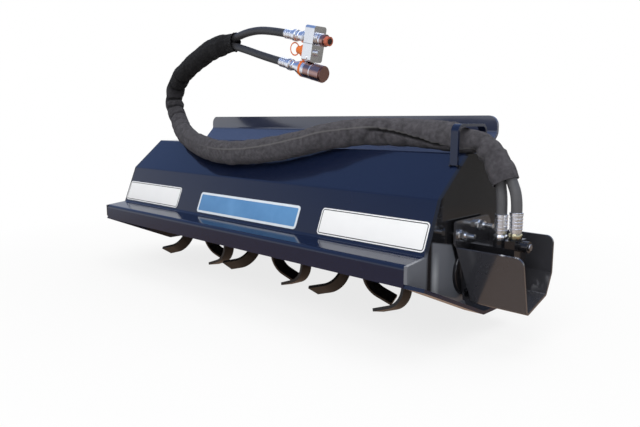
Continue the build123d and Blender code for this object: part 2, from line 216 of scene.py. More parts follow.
# Rotor: its axis, flanges and tines, the faces that its bolts sit on from each flange's
# middle, the bolts, and the place of painted parts in the list of their metals
ROTOR_Y = 0.0095
ROTOR_Z = 0.1435
FLANGE_XS = [HOOD_LEFT + 0.225 + 0.176 * i for i in range(6)]
FLANGE_TURNS = (142, 172, 136, 172, 141, 164)
HAND_TURN = 59
FLANGE_FACE = 0.005
TINE_FACE = 0.0133
TINE_BOLT_REACH = 0.0545
TINE_BOLT_HALF = 0.0095
TINE_NUT_RADIUS = 0.0078
WASHER = 0.0016
PAINTED = 1

# Bearing housing and motor at the rotor's ends, as in the solids
HOUSING_DEPTH = 0.022
HOUSING_BOLT_RADIUS = 0.042
END_SHEET = 0.008
GUARD_SHEET = 0.005
MOTOR_FLANGE = 0.012
MOTOR_BOLT_HALF = 0.029
MOTOR_LENGTH = 0.088
MOTOR_COVER = 0.012
COVER_BOLT_RADIUS = 0.027
PORT_BLOCK_END = 0.124
PLUG_REACH = 0.019
PLUG_HEIGHT = 0.216

# Weld beads round the rotor tube: place from a flange's middle, radius, half width,
# segments, and the number and share of the ripples
BEAD_OFFSET = 0.0055
BEAD_RADIUS = 0.0385
BEAD_HALF = 0.0032
BEAD_STEPS = 72
BEAD_RIPPLES = 30
BEAD_RIPPLE_SHARE = 0.25

# Hose guide's feet, as (depth from the hood's front, height), and their welds
GUIDE_FEET = ((0.187, 0.3765), (0.303, 0.4015))
GUIDE_FOOT_HALF = 0.0095
GUIDE_WELD = (0.004, 0.010, 0.004)


class SleeveSizes(bpy.types.PropertyGroup):
    """Sizes and colour of the fabric hose sleeve"""

    tall: bpy.props.FloatProperty(
        name="Height", description="Height of the sleeve's section over both hoses",
        default=0.066, min=0.03, max=0.08, unit="LENGTH")
    deep: bpy.props.FloatProperty(
        name="Depth", description="Depth of the sleeve's section",
        default=0.054, min=0.03, max=0.08, unit="LENGTH")
    folds: bpy.props.FloatProperty(
        name="Folds", description="Height of the folds inside each bend",
        default=0.0065, min=0, max=0.009, unit="LENGTH")
    colour: bpy.props.FloatVectorProperty(
        name="Colour", description="Colour of the woven sleeve",
        default=(0.082, 0.078, 0.088), size=3, subtype="COLOR", min=0, max=1)


class PaintColours(bpy.types.PropertyGroup):
    """Colours of the painted steel"""

    hood: bpy.props.FloatVectorProperty(
        name="Hood", description="Dark blue of the hood and the mounting plate",
        default=(0.0062, 0.0110, 0.033), size=3, subtype="COLOR", min=0, max=1)
    ends: bpy.props.FloatVectorProperty(
        name="Ends", description="Near black of the end plates and the motor guard",
        default=(0.0105, 0.0105, 0.0125), size=3, subtype="COLOR", min=0, max=1)


class StageSettings(bpy.types.PropertyGroup):
    """Strengths of the studio lamps"""

    key: bpy.props.FloatProperty(
        name="Key lamp", description="Power of the large lamp in front",
        default=62.0, min=0, subtype="POWER")
    top: bpy.props.FloatProperty(
        name="Top lamp", description="Power of the lamp above",
        default=42.0, min=0, subtype="POWER")
    world: bpy.props.FloatProperty(
        name="Room", description="Strength of the room's even light", default=0.55, min=0)


def set_socket(shader, name, value):
    """Sets one of a shader's own sockets."""
    shader.inputs[name].default_value = value


def new_material(name):
    """A material with its tree and its Principled shader."""
    material = bpy.data.materials.new(name)
    material.use_nodes = True
    tree = material.node_tree
    return material, tree, tree.nodes["Principled BSDF"]


def add_math(tree, operation, *values):
    """A math node, fed from numbers and sockets."""
    node = tree.nodes.new("ShaderNodeMath")
    node.operation = operation
    for socket, value in zip(node.inputs, values):
        if isinstance(value, (int, float)):
            socket.default_value = value
        else:
            tree.links.new(value, socket)
    return node.outputs[0]


def add_mix(tree, factor, first, second):
    """A colour mix node, fed from colours and sockets."""
    node = tree.nodes.new("ShaderNodeMix")
    node.data_type = "RGBA"
    for socket, value in ((node.inputs["Factor"], factor), (node.inputs["A"], first),
                          (node.inputs["B"], second)):
        if isinstance(value, bpy.types.NodeSocket):
            tree.links.new(value, socket)
        else:
            socket.default_value = (*value, 1)
    return node.outputs["Result"]


def add_range(tree, value, start, end, low=0.0, high=1.0):
    """A clamped map range node from start and end to low and high."""
    node = tree.nodes.new("ShaderNodeMapRange")
    for name, number in (("From Min", start), ("From Max", end), ("To Min", low),
                         ("To Max", high)):
        node.inputs[name].default_value = number
    tree.links.new(value, node.inputs["Value"])
    return node.outputs["Result"]


def add_vector(tree, operation, first, second=None):
    """A vector math node, fed from a socket and, where it takes two, a fixed vector."""
    node = tree.nodes.new("ShaderNodeVectorMath")
    node.operation = operation
    tree.links.new(first, node.inputs[0])
    if second:
        node.inputs[1].default_value = second
    return node.outputs["Value" if operation in ("LENGTH", "DOT_PRODUCT") else "Vector"]


def add_axes(tree, output="Object"):
    """A texture coordinate as one vector, and its X, Y and Z."""
    spot = tree.nodes.new("ShaderNodeTexCoord").outputs[output]
    parts = tree.nodes.new("ShaderNodeSeparateXYZ")
    tree.links.new(spot, parts.inputs[0])
    return spot, parts.outputs


def shared_group(name, numbers, outputs):
    """A new shader node group with number inputs and number outputs."""
    group = bpy.data.node_groups.new(name, "ShaderNodeTree")
    for label, start in numbers:
        socket = group.interface.new_socket(label, in_out="INPUT", socket_type="NodeSocketFloat")
        socket.default_value = start
    for label in outputs:
        group.interface.new_socket(label, in_out="OUTPUT", socket_type="NodeSocketFloat")
    return group, group.nodes.new("NodeGroupInput"), group.nodes.new("NodeGroupOutput")


def grain_group():
    """Shared grain: slow ripple, fine peel, change of tone and scuffs."""
    if "Surface grain" in bpy.data.node_groups:
        return bpy.data.node_groups["Surface grain"]
    group, inputs, outputs = shared_group(
        "Surface grain",
        (("Ripple size", 4.0), ("Peel size", 900.0), ("Tone size", 6.0), ("Peel share", 0.012)),
        ("Tone", "Height", "Scuff"))
    make, link = group.nodes.new, group.links.new
    spot = make("ShaderNodeTexCoord")
    found = {}
    for label, detail in (("Ripple", 2.0), ("Peel", 2.0), ("Tone", 6.0)):
        texture = make("ShaderNodeTexNoise")
        texture.inputs["Detail"].default_value = detail
        link(spot.outputs["Object"], texture.inputs["Vector"])
        link(inputs.outputs[f"{label} size"], texture.inputs["Scale"])
        found[label] = texture.outputs["Fac"]
    link(found["Tone"], outputs.inputs["Tone"])
    peel = add_math(group, "MULTIPLY", found["Peel"], inputs.outputs["Peel share"])
    link(add_math(group, "ADD", found["Ripple"], peel), outputs.inputs["Height"])
    stretched = make("ShaderNodeMapping")
    stretched.inputs["Scale"].default_value = (14, 60, 160)
    link(spot.outputs["Object"], stretched.inputs["Vector"])
    scratch = make("ShaderNodeTexNoise")
    scratch.inputs["Scale"].default_value = 3.0
    scratch.inputs["Detail"].default_value = 4.0
    link(stretched.outputs["Vector"], scratch.inputs["Vector"])
    link(add_range(group, scratch.outputs["Fac"], 0.62, 0.74), outputs.inputs["Scuff"])
    return group


def add_grain(tree, sizes, peel):
    """The shared grain, with its ripple, peel and tone sizes and its share of peel."""
    grain = tree.nodes.new("ShaderNodeGroup")
    grain.node_tree = grain_group()
    for label, value in zip(("Ripple size", "Peel size", "Tone size", "Peel share"),
                            (*sizes, peel)):
        grain.inputs[label].default_value = value
    return grain


def grained(name, colour, tone, roughness, metallic=0.0, bump=0.0, sizes=(4.0, 900.0, 6.0),
            peel=0.012, swing=0.0, scuff=0.0, other=None):
    """A material whose tone, gloss and relief come from the shared grain."""
    material, tree, shader = new_material(name)
    grain = add_grain(tree, sizes, peel)
    dark = [c * (1 - tone) for c in colour]
    light = other or [min(1, c * (1 + tone)) for c in colour]
    tree.links.new(add_mix(tree, grain.outputs["Tone"], dark, light), shader.inputs["Base Color"])
    spread = add_range(tree, grain.outputs["Tone"], 0.0, 1.0,
                       max(0.03, roughness - swing), roughness + swing)
    worn = add_math(tree, "MULTIPLY_ADD", grain.outputs["Scuff"], scuff, spread)
    tree.links.new(worn, shader.inputs["Roughness"])
    set_socket(shader, "Metallic", metallic)
    set_socket(shader, "IOR", 1.5)
    if bump:
        relief = tree.nodes.new("ShaderNodeBump")
        relief.inputs["Distance"].default_value = bump
        tree.links.new(grain.outputs["Height"], relief.inputs["Height"])
        tree.links.new(relief.outputs["Normal"], shader.inputs["Normal"])
    return material


def weave_group():
    """Shared weave: threads along and across a piece's UV map, in metres."""
    if "Woven threads" in bpy.data.node_groups:
        return bpy.data.node_groups["Woven threads"]
    group, inputs, outputs = shared_group("Woven threads", (("Threads", 700.0),), ("Height",))
    make, link = group.nodes.new, group.links.new
    spot = make("ShaderNodeUVMap")
    parts = make("ShaderNodeSeparateXYZ")
    link(spot.outputs["UV"], parts.inputs[0])
    waves = []
    for axis in ("X", "Y"):
        turn = add_math(group, "MULTIPLY", parts.outputs[axis], inputs.outputs["Threads"])
        waves.append(add_math(group, "SINE", add_math(group, "MULTIPLY", turn, 2 * pi)))
    link(add_math(group, "MULTIPLY", *waves), outputs.inputs["Height"])
    return group


def fabric(name, colour, edge_colour):
    """Woven cloth, dusty and creased, with painted shade read from a vertex attribute and a paler
    edge where its flap ends.
    """
    material, tree, shader = new_material(name)
    weave = tree.nodes.new("ShaderNodeGroup")
    weave.node_tree = weave_group()
    weave.inputs["Threads"].default_value = 420.0
    grain = add_grain(tree, (55, 420, 95), 0.8)
    edge = tree.nodes.new("ShaderNodeAttribute")
    edge.attribute_name = "flap_edge"
    shade = tree.nodes.new("ShaderNodeAttribute")
    shade.attribute_name = "painted_shade"
    dusty = add_mix(tree, grain.outputs["Tone"], [c * 0.25 for c in colour],
                    [c * 1.9 for c in colour])
    # Painted shade: the cloth goes towards near black where the vertex attribute says so
    shaded_cloth = add_mix(tree, shade.outputs["Fac"], dusty, [c * 0.09 for c in colour])
    lined = add_mix(tree, edge.outputs["Fac"], shaded_cloth, edge_colour)
    tree.links.new(lined, shader.inputs["Base Color"])
    set_socket(shader, "Roughness", 0.82)
    set_socket(shader, "Specular IOR Level", 0.15)
    set_socket(shader, "Sheen Weight", 0.06)
    set_socket(shader, "Sheen Roughness", 0.4)
    thread = add_math(tree, "MULTIPLY_ADD", weave.outputs["Height"], 0.25,
                      grain.outputs["Height"])
    relief = tree.nodes.new("ShaderNodeBump")
    relief.inputs["Distance"].default_value = 0.0024
    tree.links.new(thread, relief.inputs["Height"])
    tree.links.new(relief.outputs["Normal"], shader.inputs["Normal"])
    return material


def finish_node(node, material, bevel):
    """Gives a CAD node its material and broken edges."""
    piece = nodes[node]
    piece.data.materials.clear()
    piece.data.materials.append(material)
    edge = piece.modifiers.new("broken edges", "BEVEL")
    edge.width = bevel
    edge.segments = 2
    edge.limit_method = "ANGLE"
    edge.angle_limit = radians(SHARP_EDGE)


def finish_piece(bm, name, materials, body, smooth=True, sharp=SHARP_EDGE):
    """Turns a bmesh into a named piece on a body, in place and shaded."""
    mesh = bpy.data.meshes.new(name)
    bmesh.ops.recalc_face_normals(bm, faces=bm.faces)
    for face in bm.faces:
        face.smooth = smooth
    for edge in bm.edges:
        if len(edge.link_faces) == 2 and edge.calc_face_angle(0) > radians(sharp):
            edge.smooth = False
    bm.to_mesh(mesh)
    bm.free()
    piece = bpy.data.objects.new(name, mesh)
    bpy.context.scene.collection.objects.link(piece)
    for each in materials:
        mesh.materials.append(each)
    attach(piece, body)
    return piece


def turned_to(spot, along, side=(0, 1, 0)):
    """Matrix that takes +Z onto a direction and +Y near another, at a place."""
    rise = Vector(along).normalized()
    across = Vector(side).cross(rise).normalized()
    turn = Matrix((across, rise.cross(across), rise)).transposed()
    return Matrix.Translation(spot) @ turn.to_4x4()


def verts_of(faces):
    """The vertices of some faces, each once."""
    return list({vert for face in faces for vert in face.verts})


def edges_of(verts):
    """The edges that meet some vertices, each once."""
    return list({edge for vert in verts for edge in vert.link_edges})


def place_new(bm, before, place, material):
    """Places the faces made since a set of faces was taken, with a material."""
    faces = [face for face in bm.faces if face not in before]
    bmesh.ops.transform(bm, matrix=place, verts=verts_of(faces))
    for face in faces:
        face.material_index = material


def lathe(bm, place, steps, chamfer=0.0006, sides=32, material=ZINC):
    """Turns a fitting from (length, diameter) steps with broken edges, along +Z."""
    low, spots = 0.0, []
    for run, width in steps:
        radius = width / 2
        spots += [(radius - chamfer, low), (radius, low + chamfer),
                  (radius, low + run - chamfer), (radius - chamfer, low + run)]
        low += run
    verts = [bm.verts.new((radius, 0, height)) for radius, height in
             [(0.0, 0.0), *spots, (0.0, spots[-1][1])]]
    edges = [bm.edges.new(pair) for pair in zip(verts, verts[1:])]
    before = set(bm.faces)
    bmesh.ops.spin(bm, geom=verts + edges, cent=(0, 0, 0), axis=(0, 0, 1), angle=2 * pi,
                   steps=sides, use_merge=True)
    fresh = verts_of(face for face in bm.faces if face not in before)
    bmesh.ops.remove_doubles(bm, verts=fresh, dist=1e-6)
    place_new(bm, before, place, material)


def prism(bm, place, sides, radius, height, bevel=0.0006, material=ZINC):
    """A bevelled prism standing on the place's XY plane."""
    before = set(bm.faces)
    made = bmesh.ops.create_cone(bm, cap_ends=True, segments=sides, radius1=radius,
                                 radius2=radius, depth=height)["verts"]
    bmesh.ops.translate(bm, vec=(0, 0, height / 2), verts=made)
    bmesh.ops.bevel(bm, geom=edges_of(made), offset=bevel, affect="EDGES", segments=1,
                    profile=0.5, material=-1)
    place_new(bm, before, place, material)


def box(bm, place, size, bevel=0.0):
    """A box centred on a place, bevelled if asked."""
    before = set(bm.faces)
    made = bmesh.ops.create_cube(bm, size=1.0)["verts"]
    bmesh.ops.scale(bm, vec=size, verts=made)
    if bevel:
        bmesh.ops.bevel(bm, geom=edges_of(made), offset=bevel, affect="EDGES", segments=2,
                        profile=0.5, material=-1)
    place_new(bm, before, place, 0)


def route_curve(name, route, bevel=0.0):
    """An open NURBS curve with the route's points as its control points."""
    curve = bpy.data.curves.new(name, "CURVE")
    curve.dimensions = "3D"
    spline = curve.splines.new("NURBS")
    spline.points.add(len(route) - 1)
    for point, spot in zip(spline.points, route):
        point.co = (*spot, 1.0)
    spline.order_u = 3
    spline.use_endpoint_u = True
    spline.resolution_u = 12
    curve.resolution_u = 12
    curve.bevel_depth = bevel
    curve.bevel_resolution = 6
    curve.use_fill_caps = True
    return curve


def spline_points(route):
    """The points that Blender gives for a route's NURBS spline."""
    holder = bpy.data.objects.new("route", route_curve("route", route))
    bpy.context.scene.collection.objects.link(holder)
    mesh = bpy.data.meshes.new_from_object(holder)
    line = [vertex.co.copy() for vertex in mesh.vertices]
    bpy.data.objects.remove(holder)
    return line


def smooth_step(low, high, value):
    """0 below low, 1 above high, and smooth between."""
    share = min(1.0, max(0.0, (value - low) / (high - low)))
    return share * share * (3 - 2 * share)


def between(rise, fall, value):
    """1 between two spans, rising over the first and falling over the second."""
    return smooth_step(*rise, value) * (1 - smooth_step(*fall, value))


class ROTAVATOR_OT_stage(bpy.types.Operator):
    """Set up the camera, the floor and the studio light"""

    bl_idname = "rotavator.stage"
    bl_label = "Stage and camera"

    def execute(self, context):
        settings = context.scene.rotavator_stage
        camera = bpy.data.objects.new("camera", bpy.data.cameras.new("camera"))
        context.scene.collection.objects.link(camera)
        camera.data.lens = CAMERA_LENS
        camera.data.sensor_width = CAMERA_SENSOR
        camera.location = CAMERA_SPOT
        camera.rotation_euler = (radians(90 - CAMERA_DIP), 0, radians(CAMERA_TURN))
        context.scene.camera = camera
        self.add_floor(context)
        self.add_lamps(context, settings)
        self.add_world(context, settings)
        context.scene.view_settings.view_transform = "Standard"
        return {"FINISHED"}

    def add_floor(self, context):
        """A white floor that keeps a soft shadow and looks like dull ground in gloss."""
        bm = bmesh.new()
        bmesh.ops.create_grid(bm, x_segments=1, y_segments=1, size=FLOOR_REACH)
        mesh = bpy.data.meshes.new("floor")
        bm.to_mesh(mesh)
        bm.free()
        floor = bpy.data.objects.new("floor", mesh)
        context.scene.collection.objects.link(floor)
        material, tree, shader = new_material("floor")
        set_socket(shader, "Base Color", (*FLOOR_TONE, 1))
        set_socket(shader, "Roughness", 0.95)
        set_socket(shader, "Specular IOR Level", 0.0)
        spot, axes = add_axes(tree)
        away = add_vector(tree, "LENGTH", spot)
        aside = add_math(tree, "ADD", axes["X"], axes["Y"])
        distant = add_mix(tree, add_range(tree, aside, *GROUND_SIDE_SPAN), GROUND_BRIGHT,
                          GROUND_DIM)
        near = add_range(tree, away, *GROUND_NEAR_SPAN)
        ground = tree.nodes.new("ShaderNodeEmission")
        tree.links.new(add_mix(tree, near, GROUND_NEAR, distant), ground.inputs["Color"])
        white = tree.nodes.new("ShaderNodeEmission")
        white.inputs["Color"].default_value = (1, 1, 1, 1)
        path = tree.nodes.new("ShaderNodeLightPath")
        clear = add_math(tree, "MULTIPLY", path.outputs["Is Camera Ray"],
                         add_range(tree, away, *CLEAR_SPAN, CLEAR_START))
        seen = self.mixed(tree, clear, shader, white)
        mirrored = self.mixed(tree, path.outputs["Is Glossy Ray"], seen, ground)
        tree.links.new(mirrored.outputs[0], tree.nodes["Material Output"].inputs["Surface"])
        mesh.materials.append(material)

    def mixed(self, tree, share, first, second):
        """A mix of two shaders."""
        node = tree.nodes.new("ShaderNodeMixShader")
        tree.links.new(share, node.inputs["Fac"])
        tree.links.new(first.outputs[0], node.inputs[1])
        tree.links.new(second.outputs[0], node.inputs[2])
        return node

    def add_lamps(self, context, settings):
        """Two large soft lamps, in front and above."""
        for name, power, (size, spot) in (("key lamp", settings.key, KEY_LAMP),
                                          ("top lamp", settings.top, TOP_LAMP)):
            lamp = bpy.data.lights.new(name, "AREA")
            lamp.energy = power
            lamp.size = size
            holder = bpy.data.objects.new(name, lamp)
            holder.location = spot
            aim_line = Vector(LAMP_AIM) - Vector(spot)
            holder.rotation_euler = aim_line.to_track_quat("-Z", "Y").to_euler()
            context.scene.collection.objects.link(holder)

    def add_world(self, context, settings):
        """White behind, even light on the object, and a sky in its gloss."""
        world = bpy.data.worlds.new("studio")
        context.scene.world = world
        world.use_nodes = True
        tree = world.node_tree
        axes = add_axes(tree, "Generated")[1]
        sky = add_mix(tree, add_range(tree, axes["Z"], *SKY_SPAN), SKY_FOOT, SKY_TOP)
        path = tree.nodes.new("ShaderNodeLightPath")
        lit = add_mix(tree, path.outputs["Is Glossy Ray"], [settings.world] * 3, sky)
        seen = add_mix(tree, path.outputs["Is Camera Ray"], lit, (1, 1, 1))
        tree.links.new(seen, tree.nodes["Background"].inputs["Color"])


class ROTAVATOR_OT_sleeve(bpy.types.Operator):
    """Make the fabric sleeve round both hoses"""

    bl_idname = "rotavator.sleeve"
    bl_label = "Hose sleeve"

    def execute(self, context):
        sizes = context.scene.rotavator_sleeve
        line = spline_points(SLEEVE_ROUTE)
        reach = [0.0]
        for here, after in zip(line, line[1:]):
            reach.append(reach[-1] + (after - here).length)
        total = reach[-1]
        bm = bmesh.new()
        uv = bm.loops.layers.uv.new("UVMap")
        bmesh.ops.create_grid(bm, x_segments=len(line) - 1, y_segments=SLEEVE_SIDES, size=1.0)
        flap = bm.verts.layers.float.new("flap_edge")
        # Painted shade of the sleeve, one value per vertex, read by its material
        painted_shade = bm.verts.layers.float.new("painted_shade")
        bm.verts.ensure_lookup_table()
        steps = {}
        for vert in bm.verts:
            row = round((vert.co.x + 1) / 2 * (len(line) - 1))
            turn = (vert.co.y + 1) / 2
            steps[vert.index] = (row, turn)
        for face in bm.faces:
            for loop in face.loops:
                row, turn = steps[loop.vert.index]
                loop[uv].uv = (reach[row], turn * SLEEVE_GIRTH)
        for vert in bm.verts:
            row, turn = steps[vert.index]
            vert.co, vert[flap], vert[painted_shade] = self.point(
                line, row, reach[row], total, turn * 2 * pi, sizes)
        bmesh.ops.remove_doubles(bm, verts=bm.verts, dist=1e-5)
        for near, inward in ((line[0], line[3] - line[0]), (line[-1], line[-4] - line[-1])):
            rim = [edge for edge in bm.edges if len(edge.link_faces) == 1
                   and (edge.verts[0].co - near).length < RIM_REACH]
            for shrink, depth in SLEEVE_END_STEPS:
                made = bmesh.ops.extrude_edge_only(bm, edges=rim)["geom"]
                verts = [g for g in made if isinstance(g, bmesh.types.BMVert)]
                rim = [g for g in made if isinstance(g, bmesh.types.BMEdge)
                       and all(v in verts for v in g.verts)]
                middle = sum((v.co for v in verts), Vector()) / len(verts)
                for v in verts:
                    v.co = middle + (v.co - middle) * shrink + inward.normalized() * depth
                    # The turned-in rims take full painted shade
                    v[painted_shade] = 1.0
            bmesh.ops.edgeloop_fill(bm, edges=rim)
        piece = finish_piece(
            bm, "hose_sleeve_fabric",
            [fabric("woven sleeve", sizes.colour, (0.24, 0.235, 0.23))], FRAME_BODY,
            sharp=75)
        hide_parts("hose_sleeve")
        return {"FINISHED"}

    def directions(self, line, row):
        """Ways across the sleeve at one row, and how sharply it bends there."""
        last = len(line) - 1
        here = line[row]
        along = (line[min(row + 1, last)] - line[max(row - 1, 0)]).normalized()
        deep_way = (Vector((0, 1, 0)) - along * along.y).normalized()
        bend = Vector()
        if 0 < row < last:
            back, ahead = line[max(row - BEND_ROWS, 0)], line[min(row + BEND_ROWS, last)]
            step = max((ahead - back).length, 1e-4)
            bend = ((ahead - here).normalized() - (here - back).normalized()) / (step / 2)
        return deep_way.cross(along), deep_way, bend

    def section(self, x, run, gather, sizes):
        """Half height, half depth and lift of the sleeve's section."""
        in_guide = 1 - smooth_step(0.0, GUIDE_HALF, abs(x - GUIDE_X)) if run < GUIDE_END else 0.0
        neck = 1 - smooth_step(*NECK_SPAN, run)
        tall = sizes.tall / 2 - max(0.0045 * in_guide, 0.0090 * neck)
        deep = sizes.deep / 2 - 0.0035 * neck
        lift = 0.0065 * between(*DECK_SPANS, run) * (1 - in_guide)
        return tall * (1 - 0.16 * gather), deep * (1 - 0.30 * gather), lift

    def point(self, line, row, run, total, angle, sizes):
        """Place, flap-edge share and painted shade of one point of the sleeve."""
        here = line[row]
        tall_way, deep_way, bend = self.directions(line, row)
        gather = smooth_step(*GATHER_SPAN, total - run)
        tall, deep, lift = self.section(here.x, run, gather, sizes)
        way = tall_way * cos(angle) + deep_way * sin(angle)
        shape = tall_way * (cos(angle) * tall) + deep_way * (sin(angle) * deep)

        # Folds inside the bends, over a slow and a fine unevenness
        broad = noise.noise(Vector((run * 26, cos(angle) * 0.9, sin(angle) * 0.9)))
        fine = noise.noise(Vector((run * 90, cos(angle) * 2.2, sin(angle) * 2.2 + 5)))
        inner = max(0.0, way.dot(bend)) * 0.11 + 0.018 * bend.length
        beat = abs(sin(run * pi / 0.052 + 1.3 * broad + 0.35 * cos(angle)))
        fold = sizes.folds * min(1.0, inner) * (beat ** 0.6 * 1.7 - 1.15)
        swell = 0.0030 * broad + 0.0015 * fine + fold

        # Cuff at the mouth, gathers and flare at the tied upper end
        swell += 0.0036 * smooth_step(*CUFF_SPAN, run)
        swell += 0.0009 * gather * sin(angle * 9 + 3 * fine)
        swell += 0.0025 * smooth_step(*FLARE_SPAN, total - run)

        # Flap, measured as a share of a turn past the line where it starts, and its slit
        start = -125 + 53 * smooth_step(0.15, 0.42, run) - 30 * smooth_step(1.15, 1.45, run)
        past = ((degrees(angle) - start) % 360) / 360
        wrapped = (1 - gather) * smooth_step(*FLAP_START_SPAN, run)
        swell += 0.0022 * max(0.0, 1 - past / 0.45) * wrapped
        edge = (1 - smooth_step(0.004, 0.018, past)) * wrapped
        edge *= 0.55 * (1 - smooth_step(*FLAP_FADE_SPAN, run))
        slit = between(*SLIT_SPANS, run) * smooth_step(0.955, 0.972, past)
        swell -= 0.0035 * slit

        spot = here + shape + way * swell + tall_way * lift
        # Painted shade: darker in the hollows of the folds, over the sleeve's upper loop and in
        # the slit
        hollow = smooth_step(0.0005, -0.0016, fold) * 0.45
        shade = 0.40 * smooth_step(*SHADE_SPANS[0], run) + 0.58 * smooth_step(*SHADE_SPANS[1], run)
        return spot, edge, min(1.0, hollow + shade + slit)


class ROTAVATOR_OT_hoses(bpy.types.Operator):
    """Make the rubber hoses at both ends of the sleeve, with their couplings"""

    bl_idname = "rotavator.hoses"
    bl_label = "Hoses and couplings"

    def execute(self, context):
        rubber = grained("hose rubber", (0.034, 0.034, 0.037), 0.35, 0.48, bump=0.0004,
                         sizes=(160, 1200, 40), peel=0.3, swing=0.08)
        zinc = grained("bright zinc", (0.97, 0.98, 0.99), 0.03, 0.26, metallic=1.0,
                       sizes=FINE_GRAIN, swing=0.07, bump=0.0001)
        yellow = grained("yellow zinc", (0.60, 0.54, 0.34), 0.2, 0.28, metallic=1.0,
                         sizes=FINE_GRAIN, swing=0.08)
        orange = grained("orange rubber", (0.78, 0.17, 0.02), 0.15, 0.42, sizes=FINE_GRAIN)
        metals = [zinc, yellow, orange]
        dusty = grained("dusty rubber", (0.085, 0.085, 0.090), 0.35, 0.55, bump=0.0004,
                        sizes=(160, 1200, 40), peel=0.3, swing=0.08)
        for number, route in enumerate(LOWER_ROUTES, start=1):
            self.hose(context, f"lower_hose_{number}", self.tucked(route, -1), dusty)
            self.lower_ferrule(number, route[0], metals)
        for number, route in enumerate(UPPER_ROUTES, start=1):
            piece = self.hose(context, f"upper_hose_{number}", self.tucked(route, 0), rubber)
            carried = self.upper_fittings(number, route, metals)
            if number == 1:
                carried += [nodes["coupler_bracket"], *self.block_parts(route, metals)]
            path = spline_points(self.tucked(route, 0))
        return {"FINISHED"}

    def tucked(self, route, end):
        """The route with one end carried on into the sleeve."""
        last, before = Vector(route[end]), Vector(route[end + 1 if end == 0 else end - 1])
        tip = last + (last - before).normalized() * HOSE_TUCK
        return [tuple(tip), *route] if end == 0 else [*route, tuple(tip)]

    def hose(self, context, node, route, rubber):
        """One hose as a round curve."""
        curve = route_curve(f"{node}_rubber", route, HOSE_WIDTH / 2)
        curve.materials.append(rubber)
        piece = bpy.data.objects.new(f"{node}_rubber", curve)
        context.scene.collection.objects.link(piece)
        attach(piece, FRAME_BODY)
        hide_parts(node)
        return piece

    def crimped(self, length, width):
        """Steps of a crimped shell: bands pressed in, round lips between."""
        rib = length / CRIMP_RIBS
        steps = [(rib * 0.36, width), (rib * 0.64, width - CRIMP_DEPTH)] * CRIMP_RIBS
        return [*steps[:-1], (rib * 0.64, width)]

    def lower_ferrule(self, number, foot, metals):
        """Crimped shell and hexagon nut of one lower hose."""
        x, y, top = foot
        low, base = LOWER_SHELL_FEET[number - 1], LOWER_NUT_FEET[number - 1]
        bm = bmesh.new()
        lathe(bm, Matrix.Translation((x, y, low)),
              self.crimped(top - low, FERRULE_STEPS[0][1]), 0.0005)
        shell = finish_piece(bm, f"lower_ferrule_{number}_shell", metals, FRAME_BODY)
        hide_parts(f"lower_ferrule_{number}")
        bm = bmesh.new()
        room = low - base
        prism(bm, Matrix.Translation((x, y, base)), 6, 0.014, room * 0.55, 0.0008,
              (ZINC, YELLOW)[number - 1])
        lathe(bm, Matrix.Translation((x, y, base + room * 0.55)),
              [(room * 0.15, 0.0215), (room * 0.30, 0.0255)], 0.0004)
        nut = finish_piece(bm, f"port_adapter_{number}_nut", metals, FRAME_BODY)
        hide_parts(f"port_adapter_{number}")

    def upper_fittings(self, number, route, metals):
        """Crimped shell and quick coupler at the end of one upper hose."""
        root, before = Vector(route[-1]), Vector(route[-2])
        along = (root - before).normalized()
        bm = bmesh.new()
        lathe(bm, turned_to(root, along),
              [*self.crimped(*FERRULE_STEPS[0]), *FERRULE_STEPS[1:]], 0.0005)
        prism(bm, turned_to(root + along * FERRULE_NUT, along), 6, 0.0152, 0.012, 0.0008)
        ferrule = finish_piece(bm, f"upper_ferrule_{number}_shell", metals, FRAME_BODY)
        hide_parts(f"upper_ferrule_{number}")
        start = root + along * FERRULE_LENGTH
        bm = bmesh.new()
        for reach, run, width, metal in COUPLER_RINGS[number - 1]:
            lathe(bm, turned_to(start + along * reach, along), [(run, width)],
                  sides=COUPLER_RING_SIDES[number - 1], material=metal)
        rings = finish_piece(bm, f"quick_coupler_{number}_rings", metals, FRAME_BODY)
        return [ferrule, rings, nodes[f"quick_coupler_{number}"]]

    def block_parts(self, route, metals):
        """Painted shade along the clamp block's seam, its screws, the dust cap and the cap's loop.
        """
        root, before = Vector(route[-1]), Vector(route[-2])
        along = (root - before).normalized()
        down = along.cross(Vector((0, 1, 0))).normalized()
        if down.z > 0:
            down = -down
        start = root + along * (FERRULE_LENGTH + BLOCK_START)
        middle = start + along * BLOCK_MIDDLE
        bm = bmesh.new()
